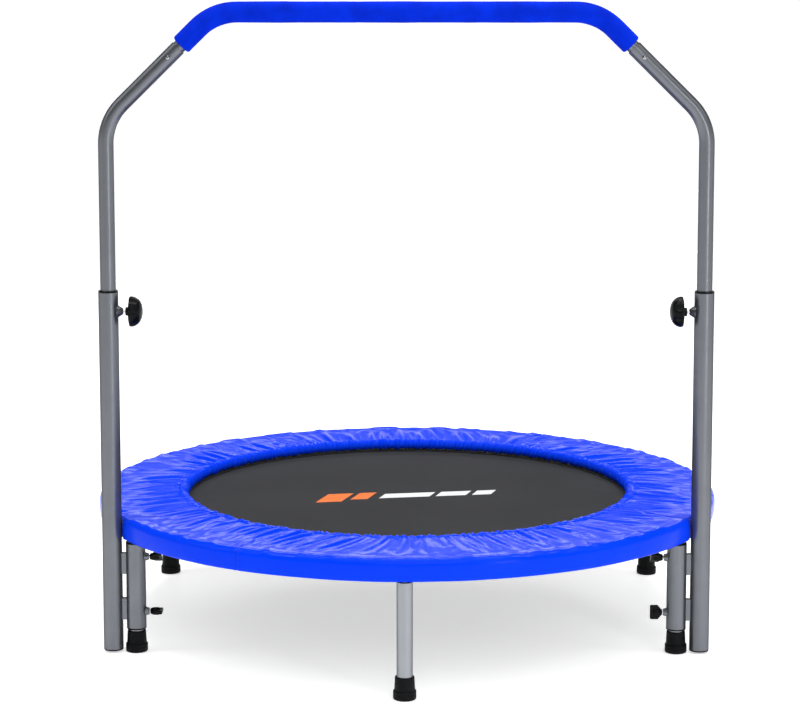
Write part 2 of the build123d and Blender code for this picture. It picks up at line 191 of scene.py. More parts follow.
def zinc():
    m = new_mat("zinc_steel", (0.6, 0.61, 0.63), 0.3, 1.0)
    set_in(m, "Base Color", mix_color(m, noise(m, 220, 4), (0.46, 0.47, 0.49), (0.72, 0.73, 0.74)))
    set_in(m, "Roughness", remap(m, noise(m, 500, 3), 0.22, 0.46))
    set_in(m, "Normal", bump(m, noise(m, 900, 3), 0.00003))
    return m


def rubber():
    m = new_mat("black_rubber", (0.012, 0.0125, 0.014), 0.55)
    shader(m).inputs["Specular IOR Level"].default_value = 0.1
    dust = remap(m, noise(m, 35, 5), 0, 1, 0.45, 0.8)
    set_in(m, "Base Color", mix_color(m, dust, (0.002, 0.0022, 0.0028), (0.008, 0.0084, 0.0095)))
    set_in(m, "Roughness", remap(m, noise(m, 300, 3), 0.46, 0.68))
    set_in(m, "Normal", bump(m, noise(m, 1400, 2), 0.00006))
    return m


def plastic():
    m = new_mat("black_plastic", (0.011, 0.0115, 0.0125), 0.3)
    shader(m).inputs["Specular IOR Level"].default_value = 0.1
    set_in(m, "Base Color", mix_color(m, noise(m, 60, 4), (0.001, 0.0011, 0.0014), (0.003, 0.0032, 0.0037)))
    set_in(m, "Roughness", remap(m, noise(m, 700, 3), 0.24, 0.4))
    set_in(m, "Normal", bump(m, noise(m, 2600, 1), 0.00004))
    return m


def chrome():
    m = new_mat("button_metal", (0.36, 0.37, 0.39), 0.2, 1.0)
    set_in(m, "Roughness", remap(m, noise(m, 900, 3), 0.12, 0.26))
    return m


def vinyl():
    m = new_mat("blue_vinyl", (0.001, 0.03, 0.7), 0.4)
    shader(m).inputs["Specular IOR Level"].default_value = 0.045
    tone = math_node(m, "ADD", remap(m, noise(m, 9, 3), -0.3, 0.3), 0.5)
    set_in(m, "Base Color", mix_color(m, tone, (0.0004, 0.034, 0.72), (0.001, 0.048, 0.86)))
    set_in(m, "Roughness", remap(m, noise(m, 45, 5), 0.17, 0.23, 0.3, 0.7))
    grain = noise(m, 1500, 2)
    creases = noise(m, 38, 3, distortion=1.2)
    first = bump(m, creases, 0.0001)
    set_in(m, "Normal", bump(m, grain, 0.00003, normal=first))
    return m


def blue_foam():
    m = new_mat("blue_foam", (0.002, 0.026, 0.72), 0.8)
    shader(m).inputs["Specular IOR Level"].default_value = 0.03
    tone = remap(m, noise(m, 26, 5), 0, 1, 0.3, 0.7)
    set_in(m, "Base Color", mix_color(m, tone, (0.0006, 0.017, 0.45), (0.001, 0.026, 0.62)))
    pores = node(m, "ShaderNodeTexVoronoi", Scale=1300.0)
    link(m, coords(m), pores.inputs["Vector"])
    first = bump(m, pores.outputs["Distance"], 0.00012, 0.8)
    set_in(m, "Normal", bump(m, noise(m, 70, 4), 0.0006, 0.5, first))
    return m


def white_foam():
    m = new_mat("pad_filling", (0.8, 0.8, 0.78), 0.9)
    pores = node(m, "ShaderNodeTexVoronoi", Scale=700.0)
    link(m, coords(m), pores.inputs["Vector"])
    # painted shade: the pores are darker where the bump sinks into them
    shade = remap(m, pores.outputs["Distance"], 0, 1, 0.0, 0.7)
    set_in(m, "Base Color", mix_color(m, shade, (0.66, 0.66, 0.63), (0.84, 0.84, 0.82)))
    set_in(m, "Normal", bump(m, pores.outputs["Distance"], 0.0004))
    return m


def weave_height(m, pitch):
    """Crossed threads: the product of two sine waves, as a plain weave."""
    sep = node(m, "ShaderNodeSeparateXYZ")
    link(m, coords(m), sep.inputs[0])
    k = 2 * math.pi / pitch
    sx = math_node(m, "SINE", math_node(m, "MULTIPLY", sep.outputs[0], k))
    sy = math_node(m, "SINE", math_node(m, "MULTIPLY", sep.outputs[1], k))
    return math_node(m, "MULTIPLY", sx, sy), sep


def times(m, a, b):
    return math_node(m, "MULTIPLY", a, b)


def within(m, value, low, high):
    """1 between low and high, and 0 elsewhere."""
    return times(m, math_node(m, "GREATER_THAN", value, low), math_node(m, "LESS_THAN", value, high))


# the mat's print: each bar's left, right, near and far edge in metres, before turn and slant
PRINT_TURN = math.radians(10)
PRINT_LEAN = 0.5
ORANGE_BARS = ((-0.168, -0.118, -0.034, 0.034), (-0.106, -0.072, -0.02, 0.034))
WHITE_BARS = ((-0.05, 0.05, -0.018, 0.018), (0.062, 0.122, -0.018, 0.018), (0.134, 0.172, -0.018, 0.018))


def print_bars(m, base, x, y):
    """Plain slanted bars over the mat's colour, a little worn."""
    c, s = math.cos(PRINT_TURN), math.sin(PRINT_TURN)
    u = math_node(m, "ADD", times(m, x, c), times(m, y, s))
    v = math_node(m, "SUBTRACT", times(m, y, c), times(m, x, s))
    skew = math_node(m, "SUBTRACT", u, times(m, v, PRINT_LEAN))
    worn = remap(m, noise(m, 700, 2), 0.7, 1.0, 0.3, 0.6)
    for bars, color in ((ORANGE_BARS, (0.86, 0.2, 0.05)), (WHITE_BARS, (0.8, 0.8, 0.8))):
        inked = None
        for left, right, near, far in bars:
            bar = times(m, within(m, skew, left, right), within(m, v, near, far))
            inked = bar if inked is None else math_node(m, "MAXIMUM", inked, bar)
        base = mix_color(m, times(m, inked, worn), base, color)
    return base


def mat_cloth(name="mat_weave", printed=True):
    m = new_mat(name, (0.03, 0.03, 0.032), 0.62)
    shader(m).inputs["Specular IOR Level"].default_value = 0.07
    weave, sep = weave_height(m, 0.0026)
    # painted shade: the weave is darker where its threads dip, as in the bump, plus a tone that differs at
    # random
    shade = math_node(m, "ADD", remap(m, weave, -0.35, 0.35, -1, 1), remap(m, noise(m, 5, 4), 0.2, 0.8))
    base = mix_color(m, shade, (0.019, 0.0192, 0.0206), (0.042, 0.0425, 0.0452))
    if printed:
        base = print_bars(m, base, sep.outputs[0], sep.outputs[1])
    set_in(m, "Base Color", base)
    set_in(m, "Roughness", remap(m, weave, 0.68, 0.82, -1, 1))
    set_in(m, "Normal", bump(m, weave, 0.00022))
    return m


def webbing_cloth():
    m = new_mat("black_webbing", (0.02, 0.02, 0.022), 0.7)
    shader(m).inputs["Specular IOR Level"].default_value = 0.15
    weave, _ = weave_height(m, 0.0018)
    # painted shade: the webbing is darker where its threads dip, as in the bump
    dark, light = (0.012, 0.012, 0.013), (0.034, 0.034, 0.036)
    set_in(m, "Base Color", mix_color(m, remap(m, weave, 0, 1, -1, 1), dark, light))
    set_in(m, "Normal", bump(m, weave, 0.0003))
    return m


def thread():
    m = new_mat("stitch_thread", (0.004, 0.035, 0.7), 0.7)
    set_in(m, "Base Color", mix_color(m, noise(m, 2500, 2), (0.003, 0.028, 0.55), (0.012, 0.06, 0.9)))
    return m


def floor_mat():
    m = new_mat("studio_floor", (0.9, 0.9, 0.9), 0.6, Emission_Color=(1, 1, 1, 1), Emission_Strength=0.55)
    shader(m).inputs["Specular IOR Level"].default_value = 0.1
    return m


M = {
    "silver_paint": silver_paint(),
    # a lighter copy of the silver paint for the legs: painted highlight
    "lit_leg_paint": silver_paint("lit_leg_paint", (0.24, 0.254, 0.272), (0.31, 0.324, 0.346)),
    "zinc_steel": zinc(),
    "black_rubber": rubber(),
    "black_plastic": plastic(),
    "button_metal": chrome(),
    "blue_vinyl": vinyl(),
    "blue_foam": blue_foam(),
    "pad_filling": white_foam(),
    "mat_weave": mat_cloth(),
    "mat_weave_plain": mat_cloth("mat_weave_plain", False),
    "black_webbing": webbing_cloth(),
    "stitch_thread": thread(),
}
M["inner_steel"] = M["zinc_steel"]
M["elastic"] = M["pad_filling"]


# ------------------------------------------------------------------ mesh helpers
def make_mesh(name, verts, faces, mat, smooth=True):
    mesh = bpy.data.meshes.new(name)
    mesh.from_pydata(np.asarray(verts, float).tolist(), [], [list(map(int, f)) for f in faces])
    mesh.validate()
    if smooth:
        mesh.polygons.foreach_set("use_smooth", [True] * len(mesh.polygons))
    mesh.materials.append(mat)
    mesh.update()
    obj = bpy.data.objects.new(name, mesh)
    bpy.context.scene.collection.objects.link(obj)
    return obj


def grid_faces(rows, cols, wrap_rows=False, offset=0):
    """Quads of a grid that is closed round its columns."""
    r = np.arange(rows if wrap_rows else rows - 1)
    rr, cc = np.meshgrid(r, np.arange(cols), indexing="ij")
    r2, c2 = (rr + 1) % rows, (cc + 1) % cols
    quads = np.stack([rr * cols + cc, rr * cols + c2, r2 * cols + c2, r2 * cols + cc], -1)
    return quads.reshape(-1, 4) + offset


def tube_mesh(path, radius, sides):
    """Vertices and faces of a round tube along a path, with its ends capped."""
    path = np.asarray(path, float)
    radius = np.broadcast_to(np.asarray(radius, float), len(path))
    d = np.gradient(path, axis=0)
    d /= np.linalg.norm(d, axis=1)[:, None]
    up = np.array([0.0, 0.0, 1.0]) if abs(d[0][2]) < 0.9 else np.array([1.0, 0.0, 0.0])
    normals = []
    n = np.cross(d[0], up)
    n /= np.linalg.norm(n)
    for t in d:
        n = n - (n @ t) * t
        n /= np.linalg.norm(n)
        normals.append(n)
    normals = np.array(normals)
    side = np.cross(d, normals)
    a = np.linspace(0, 2 * np.pi, sides, endpoint=False)
    ring = normals[:, None, :] * np.cos(a)[None, :, None] + side[:, None, :] * np.sin(a)[None, :, None]
    verts = (path[:, None, :] + ring * radius[:, None, None]).reshape(-1, 3)
    faces = grid_faces(len(path), sides).tolist()
    faces.append(list(range(sides))[::-1])
    faces.append([(len(path) - 1) * sides + i for i in range(sides)])
    return verts, faces


def merge(parts):
    verts, faces, at = [], [], 0
    for v, f in parts:
        verts.append(v)
        faces.extend([[i + at for i in one] for one in f])
        at += len(v)
    return np.concatenate(verts), faces


def spin(v, degrees_):
    a = math.radians(degrees_)
    c, s = math.cos(a), math.sin(a)
    return v @ np.array([[c, s, 0], [-s, c, 0], [0, 0, 1]])


def smoothstep(t):
    t = np.clip(t, 0, 1)
    return t * t * (3 - 2 * t)


# ------------------------------------------------------------------ the safety pad's cover
SEAMS = [math.radians(a) for a in (60.5, 150.5, 240.5, 330.5)]
COLS = 1200
STITCH_R = PAD_IN + 0.0175  # stitch line of the elastic's casing
TOP = PAD_TOP + 0.0004
OUT = PAD_OUT + 0.0046
ROLL = 0.0125  # radius of the rolled rim
SEWN_END = OUT - ROLL  # where the flat top ends and the rim starts
ANGLE = np.linspace(0, 2 * np.pi, COLS, endpoint=False)


def wander(phi, waves, seed, depth=1.6):
    """A wave round the ring whose spacing drifts, so that no two puckers are alike."""
    g = np.random.default_rng(seed)
    w = np.zeros_like(phi)
    for k in (3, 7, 13, 29, 61):
        w = w + g.uniform(0.4, 1.3) * np.sin(k * phi + g.uniform(0, 6.28))
    return np.sin(waves * phi + w * depth)


def around(x):
    """An angle, or an array of them, brought between -pi and pi."""
    return (x + np.pi) % (2 * np.pi) - np.pi


def stitch_line(phi):
    """Height of the puckers along the elastic's stitch line."""
    return 0.0011 * wander(phi, 168, 1) + 0.0008 * wander(phi, 236, 2) + 0.0007 * wander(phi, 97, 3)


def top_rows():
    rows = [STITCH_R]
    while rows[-1] < SEWN_END - 0.003:
        rows.append(rows[-1] + 0.0023 + 0.0023 * min(1, (rows[-1] - STITCH_R) / 0.08))
    rows[-1] = SEWN_END
    return np.array(rows)


def start_folds(rr, pp):
    """The gathered vinyl before it settles: folds that run out from the stitch line and widen."""
    s = rr - STITCH_R
    pp = pp + s * (0.45 * np.sin(3 * pp + 0.8) + 0.35 * np.sin(7 * pp + 2.0))
    h = stitch_line(pp) * np.exp(-s / 0.03)
    h = h + 0.0026 * (wander(pp, 76, 5) + 0.6 * wander(pp, 113, 8)) * np.exp(-(((s - 0.03) / 0.05) ** 2))
    h = h + 0.0014 * wander(pp, 49, 6) * np.exp(-(((s - 0.08) / 0.03) ** 2))
    return np.maximum(h + 0.0012, -0.0004)


def settle(rows, height):
    """Cloth simulation of the cover between the stitch line and the rim.

    The cover is sewn from a strip as long as the rim, and the elastic draws its inner edge
    in. The rest shape is that strip, so the spare length has to stand up as folds. It runs
    at ten times size, where the solver behaves, and its result is scaled back."""
    big = 10.0
    n = len(rows)
    pp, rr = np.meshgrid(ANGLE, rows)
    z = TOP + height + 0.0001 * np.abs(rng.standard_normal(rr.shape))
    z[-3:] = TOP
    co = np.stack([rr * np.cos(pp), rr * np.sin(pp), z], -1).reshape(-1, 3)
    cloth = make_mesh("settling_cover", co * big, grid_faces(n, COLS)[:, ::-1], M["blue_vinyl"])
    cloth.shape_key_add(name="Basis")
    rest = cloth.shape_key_add(name="strip")
    spare = rr + (SEWN_END - rr) * 1.05
    strip = np.stack([spare * np.cos(pp), spare * np.sin(pp), TOP - (rr - STITCH_R)], -1).reshape(-1, 3) * big
    rest.data.foreach_set("co", strip.astype(np.float32).ravel())
    rest.value = 0
    group = cloth.vertex_groups.new(name="held")
    group.add(list(range(COLS)) + list(range((n - 2) * COLS, n * COLS)), 1.0, "REPLACE")
    mod = cloth.modifiers.new("cloth", "CLOTH")
    st = mod.settings
    st.quality, st.mass = 8, 0.1
    st.tension_stiffness = st.compression_stiffness = 500
    st.shear_stiffness, st.bending_stiffness = 60, 0.6
    st.tension_damping = st.compression_damping = 5
    st.shear_damping, st.bending_damping, st.air_damping = 3, 0.3, 1.5
    st.vertex_group_mass = "held"
    st.rest_shape_key = rest
    mod.collision_settings.use_collision = True
    mod.collision_settings.collision_quality = 2
    mod.collision_settings.distance_min = 0.004
    mod.collision_settings.use_self_collision = False
    sides = 144
    a = np.linspace(0, 2 * np.pi, sides, endpoint=False)
    foam_z = np.full(sides, TOP - 0.0012)
    ring = [np.stack([r * np.cos(a), r * np.sin(a), foam_z], -1) for r in (PAD_IN, PAD_OUT)]
    foam_faces = grid_faces(2, sides)[:, ::-1]
    foam_top = make_mesh("foam_top", np.concatenate(ring) * big, foam_faces, M["pad_filling"])
    foam_top.modifiers.new("solid", "COLLISION")
    foam_top.collision.thickness_outer = 0.004
    scene_ = bpy.context.scene
    scene_.gravity = (0, 0, -0.8)
    frames = 26
    mod.point_cache.frame_start, mod.point_cache.frame_end = 1, frames
    scene_.frame_start, scene_.frame_end = 1, frames
    for f in range(1, frames + 1):
        scene_.frame_set(f)
    shape = cloth.evaluated_get(bpy.context.evaluated_depsgraph_get()).to_mesh()
    got = np.empty(len(shape.vertices) * 3)
    shape.vertices.foreach_get("co", got)
    for o in (cloth, foam_top):
        bpy.data.objects.remove(o, do_unlink=True)
    scene_.frame_set(1)
    scene_.gravity = (0, 0, -9.81)
    got = got.reshape(n, COLS, 3) / big
    got[..., 2] = np.maximum(got[..., 2], TOP - 0.0008)
    return got


def pad_cover():
    rows = top_rows()
    pp, rr = np.meshgrid(ANGLE, rows)
    height = start_folds(rr, pp)
    height[-3:] *= np.array([0.6, 0.25, 0.0])[:, None]
    top = settle(rows, height)
    # casing of the elastic, from under the hem up to the stitch line
    edge_h = top[0, :, 2] - TOP
    low = FOAM_LOW - 0.0024
    line = np.array(
        [
            (0.0065, low + 0.0002),
            (0.0035, low - 0.0002),
            (0.0012, low + 0.0010),
            (-0.0004, low + 0.0034),
            (-0.0010, low + 0.0062),
            (-0.0006, low + 0.0090),
            (0.0010, TOP - 0.0020),
            (0.0034, TOP + 0.0006),
            (0.0060, TOP + 0.0020),
            (0.0088, TOP + 0.0026),
            (0.0116, TOP + 0.0022),
            (0.0140, TOP + 0.0010),
            (0.0158, TOP + 0.0001),
        ]
    )
    tight = 0.6 * wander(ANGLE, 205, 21) + 0.55 * wander(ANGLE, 281, 22) + 0.4 * wander(ANGLE, 131, 23)
    steps = np.gradient(line, axis=0)
    steps /= np.linalg.norm(steps, axis=1)[:, None]
    casing = []
    for i, (inner, z) in enumerate(line):
        t = i / (len(line) - 1)
        big = 0.0025 * math.sin(math.pi * min(1.0, 0.12 + t * 0.95)) ** 0.7
        blend_ = smoothstep((t - 0.6) / 0.4)
        h = (1 - blend_) * (tight + 0.45) * big + blend_ * (edge_h * 0.8 + 0.3 * tight * big)
        h = np.maximum(h, -0.0003 - 0.0012 * t)
        r = PAD_IN + inner - steps[i, 1] * h
        zz = z + steps[i, 0] * h
        casing.append(np.stack([r * np.cos(ANGLE), r * np.sin(ANGLE), zz], -1))
    # the rolled rim and the skirt
    skirt = []
    for turned in np.linspace(8, 90, 10):
        a = math.radians(turned)
        skirt.append((SEWN_END + ROLL * math.sin(a), TOP - ROLL + ROLL * math.cos(a), 0.0))
    for z in np.linspace(TOP - ROLL - 0.0024, SKIRT_LOW + 0.0042, 9):
        t = (TOP - ROLL - z) / (TOP - ROLL - SKIRT_LOW)
        skirt.append((OUT + 0.0009 * math.sin(math.pi * t) - 0.0012 * t, z, t))
    for back, up in ((0.0014, 0.0012), (0.0026, 0.0), (0.0040, 0.0008), (0.0044, 0.0050), (0.0044, 0.0105)):
        skirt.append((OUT - back, SKIRT_LOW + up, 1.0))
    sways = ((9, 0.0006, 0.4), (17, 0.0005, 2.1), (31, 0.0003, 4.0), (47, 0.0002, 1.0))
    wave = sum(a * np.sin(k * ANGLE + p) for k, a, p in sways)
    hang = []
    for r, z, t in skirt:
        rad = r + wave * t
        hang.append(np.stack([rad * np.cos(ANGLE), rad * np.sin(ANGLE), z + 0.5 * wave * t], -1))
    verts = np.concatenate([np.array(casing), top, np.array(hang)])
    # joining seams: the two panels dip into the seam and stand up a little beside it
    radius = np.hypot(verts[..., 0], verts[..., 1])
    count = len(casing)
    for s in SEAMS:
        x = around(ANGLE - s)[None, :] * radius
        dip = 0.0018 * np.exp(-((x / 0.0016) ** 2))
        shoulder = 0.0007 * np.exp(-(((np.abs(x) - 0.0046) / 0.0026) ** 2))
        groove = shoulder - dip
        on_top = smoothstep((radius - STITCH_R - 0.02) / 0.05) * (radius < SEWN_END + 0.009)
        on_top[:count] = 0
        side = smoothstep((radius - SEWN_END - 0.004) / 0.006)
        side[:count] = 0
        verts[..., 2] += groove * on_top * (1 - side)
        for k in (0, 1):
            verts[..., k] += groove * side * verts[..., k] / radius
    # the folds run out over the rim here and there
    rim = np.maximum(wander(ANGLE, 31, 31, 0.8) + 0.7 * wander(ANGLE, 53, 32, 0.8), -0.5)
    near = np.exp(-(((radius - SEWN_END + 0.004) / 0.02) ** 2))
    near *= smoothstep((verts[..., 2] - TOP + ROLL) / ROLL)
    near[:count] = 0
    verts[..., 2] += 0.0014 * rim * near
    # stays off the handle poles
    for name in ("left", "right"):
        low_, high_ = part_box("pole_tube_" + name)
        c = np.array([(low_[0] + high_[0]) / 2, (low_[1] + high_[1]) / 2])
        keep = (high_[0] - low_[0]) / 2 + 0.0012
        far = np.linalg.norm(verts[..., :2] - c, axis=-1)
        push = np.clip(keep + 0.0014 - far, 0, None)
        verts[..., :2] += (-c / np.linalg.norm(c)) * (push * 1.06)[..., None]
    faces = grid_faces(len(verts), COLS)[:, ::-1]
    return make_mesh("pad_cover_soft", verts.reshape(-1, 3), faces, M["blue_vinyl"])


cover = pad_cover()
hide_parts("pad_cover")
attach(cover, "frame")


def stitches():
    """Thread on both sides of each seam, over the rim and down the skirt, laid on the cover itself."""
    beside, pitch, long, thread_r = 0.0034, 0.0046, 0.003, 0.00032
    parts = []
    line = [(r, TOP + 0.0004) for r in np.arange(STITCH_R + 0.085, SEWN_END, 0.004)]
    for a in np.linspace(0, math.pi / 2, 8):
        line.append((SEWN_END + ROLL * math.sin(a), TOP - ROLL + ROLL * math.cos(a)))
    line += [(OUT, z) for z in np.arange(TOP - ROLL - 0.003, SKIRT_LOW + 0.005, -0.004)]
    line = np.array(line)
    arc = np.concatenate([[0], np.cumsum(np.linalg.norm(np.diff(line, axis=0), axis=1))])
    dr, dz = np.gradient(line[:, 0], arc), np.gradient(line[:, 1], arc)
    for s in SEAMS:
        for off in (-beside, beside):
            for a in np.arange(0.0, arc[-1] - long, pitch):
                pts = []
                for k, lift in ((0, -0.0001), (0.25, 0.0003), (0.75, 0.0003), (1, -0.0001)):
                    b = a + long * k
                    r, z = np.interp(b, arc, line[:, 0]), np.interp(b, arc, line[:, 1])
                    nr, nz = -np.interp(b, arc, dz), np.interp(b, arc, dr)
                    ang = s + off / r
                    off_r, off_z = r + nr * 0.01, z + nz * 0.01
                    p = Vector((off_r * math.cos(ang), off_r * math.sin(ang), off_z))
                    way = -Vector((nr * math.cos(ang), nr * math.sin(ang), nz))
                    hit, where, _, _ = cover.ray_cast(p, way, distance=0.03)
                    base = where if hit else Vector((r * math.cos(ang), r * math.sin(ang), z))
                    pts.append(tuple(base - way * lift))
                parts.append(tube_mesh(pts, thread_r, 5))
    v, f = merge(parts)
    return make_mesh("seam_stitches", v, f, M["stitch_thread"])


seam = stitches()
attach(seam, "frame")


def pad_filling():
    """The foam ring, a little rough where it is cut; it shows only from below."""
    low, high = FOAM_LOW, foam_high[2] - 0.0022
    r0, r1 = PAD_IN + 0.0095, PAD_OUT - 0.0058
    line = [(r0, low + 0.002)]
    line += [(r, low + 0.0001) for r in np.linspace(r0 + 0.002, r1 - 0.002, 24)]
    line += [(r1, low + 0.002), (r1, high - 0.004), (r1 - 0.004, high)]
    line += [(r, high) for r in np.linspace(r1 - 0.01, r0 + 0.01, 10)]
    line += [(r0 + 0.003, high - 0.001), (r0, high - 0.004)]
    line = np.array(line)
    phi = np.linspace(0, 2 * np.pi, 288, endpoint=False)
    pp, rr = np.meshgrid(phi, line[:, 0])
    zz = np.broadcast_to(line[:, 1][:, None], rr.shape).copy()
    zz += np.where(zz < low + 0.001, 0.0006, 0) * np.abs(np.sin(37 * pp) * np.sin(rr * 260))
    verts = np.stack([rr * np.cos(pp), rr * np.sin(pp), zz], -1).reshape(-1, 3)
    return make_mesh("pad_filling_soft", verts, grid_faces(len(line), 288, True), M["pad_filling"])


filling = pad_filling()
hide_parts("pad_foam")
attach(filling, "frame")


def dish(obj):
    """Bakes the piece's placement into its mesh."""
    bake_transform(obj)


def jumping_mat():
    radii = np.concatenate([np.linspace(0.004, MAT_R - 0.03, 44), np.linspace(MAT_R - 0.026, MAT_R, 10)])
    cols = 240
    phi = np.linspace(0, 2 * np.pi, cols, endpoint=False)
    pp, rr = np.meshgrid(phi, radii)
    top = np.stack([rr * np.cos(pp), rr * np.sin(pp), np.full(rr.shape, mat_high[2])], -1)
    under = top.copy()
    under[..., 2] = mat_low[2]
    # faint pull lines from the rings towards the middle
    pull = 0.00025 * np.cos(SPRINGS * (pp - math.radians(SPRING_FIRST))) * smoothstep((rr - 0.3) / 0.15)
    top[..., 2] += pull - 0.0002
    under[..., 2] += pull + 0.0002
    rows = len(radii)
    verts = np.concatenate([top.reshape(-1, 3), under.reshape(-1, 3)])
    faces = grid_faces(rows, cols)[:, ::-1].tolist()
    n = rows * cols
    faces += grid_faces(rows, cols, offset=n).tolist()
    last = (rows - 1) * cols
    faces += [[last + i, n + last + i, n + last + (i + 1) % cols, last + (i + 1) % cols] for i in range(cols)]
    faces.append(list(range(cols)))
    faces.append([n + i for i in range(cols)][::-1])
    obj = make_mesh("jumping_mat", verts, faces, M["mat_weave"])
    obj.data.materials.append(M["mat_weave_plain"])
    for face in obj.data.polygons:
        face.material_index = int(face.normal.z < 0.5)
    return obj


mat = jumping_mat()
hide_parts("mat")
dish(mat)


def copied(node_name, new_name, material):
    old = nodes[node_name]
    obj = bpy.data.objects.new(new_name, old.data.copy())
    bpy.context.scene.collection.objects.link(obj)
    obj.data.materials.clear()
    obj.data.materials.append(material)
    for p in obj.data.polygons:
        p.material_index = 0
    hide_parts(node_name)
    return obj


def webbing():
    """Folded webbing round the mat's edge: rounded outer fold, two rows of lock stitches."""
    thick, web_in, fold_r = 0.0015, 0.427, 0.0022
    notch_r = 0.4302  # the end of the notch that the mat goes in by
    stitch_rows, stitches_round = (0.4315, 0.4515), 360
    hi, lo = mat_high[2] + thick, mat_low[2] - thick
    mid = (hi + lo) / 2
    line = [(r, hi) for r in np.linspace(web_in, WEB_R - 0.004, 9)]
    for turned in np.linspace(90, -90, 9):
        a = math.radians(turned)
        line.append((WEB_R - fold_r + fold_r * math.cos(a), mid + (hi - lo) / 2 * math.sin(a)))
    line += [(r, lo) for r in np.linspace(WEB_R - 0.004, web_in, 9)]
    line += [(web_in, mat_low[2]), (notch_r, mat_low[2]), (notch_r, mat_high[2]), (web_in, mat_high[2])]
    line = np.array(line)
    cols = 720
    phi = np.linspace(0, 2 * np.pi, cols, endpoint=False)
    pp, rr = np.meshgrid(phi, line[:, 0])
    zz = np.broadcast_to(line[:, 1][:, None], rr.shape).copy()
    for row_r in stitch_rows:
        pit = np.exp(-(((rr - row_r) / 0.0012) ** 2)) * (0.6 + 0.4 * np.cos(pp * stitches_round)) * 0.0004
        zz += np.where(zz > MAT_Z, -pit, pit)
    verts = np.stack([rr * np.cos(pp), rr * np.sin(pp), zz], -1).reshape(-1, 3)
    faces = grid_faces(len(line), cols, True)[:, ::-1]
    return make_mesh("mat_edge_webbing", verts, faces, M["black_webbing"])


web = webbing()
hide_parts("mat_webbing")
dish(web)

vees = copied("mat_rings", "mat_vee_rings", M["zinc_steel"])
dish(vees)


def coil_springs():
    """One wire each: hook, coil, hook."""
    wire_r, coil_r = 0.0013, 0.0067
    r_in, r_out, turns = 0.480, 0.536, 18  # the coil's ends, from the axis
    bar = 0.468  # where the inner hook holds the V ring
    eye = (0.5435 + 0.5495 - 0.0032) / 2  # where the outer hook holds the eye plate
    grab = 0.0034  # radius of the hooks
    pts = [(bar + 0.0028, 0, VEE_Z - grab * 0.9)]
    for a in np.linspace(-90, -270, 9):
        pts.append((bar + grab * math.cos(math.radians(a)), 0, VEE_Z + grab * math.sin(math.radians(a))))
    pts += [(bar + 0.004, 0.0002, VEE_Z + grab + 0.0006), (r_in - 0.003, 0.001, SPR_Z + coil_r - 0.0008)]
    for a in np.linspace(0, turns * 2 * np.pi, turns * 12 + 1):
        x = r_in + (r_out - r_in) * a / (turns * 2 * np.pi)
        pts.append((x, coil_r * math.sin(a), SPR_Z + coil_r * math.cos(a)))
    pts += [(r_out + 0.003, -0.001, SPR_Z + coil_r - 0.0006), (eye - 0.003, -0.0002, EYE_Z + grab + 0.0006)]
    for a in np.linspace(90, -90, 9):
        pts.append((eye + grab * math.cos(math.radians(a)), 0, EYE_Z + grab * math.sin(math.radians(a))))
    pts.append((eye - 0.0026, 0, EYE_Z - grab * 0.95))
    one = tube_mesh(pts, wire_r, 7)
    parts = []
    for i in range(SPRINGS):
        parts.append((spin(one[0], SPRING_FIRST + i * 360 / SPRINGS), one[1]))
    v, f = merge(parts)
    return make_mesh("coil_springs", v, f, M["zinc_steel"])


springs = coil_springs()
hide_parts("springs")
dish(springs)


# ------------------------------------------------------------------ leaf springs behind the snap buttons
middle_y = (bar_low[1] + bar_high[1]) / 2
for side in ("left", "right"):
    leaf = copied("snap_spring_" + side, "snap_leaf_" + side, M["zinc_steel"])
    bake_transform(leaf)


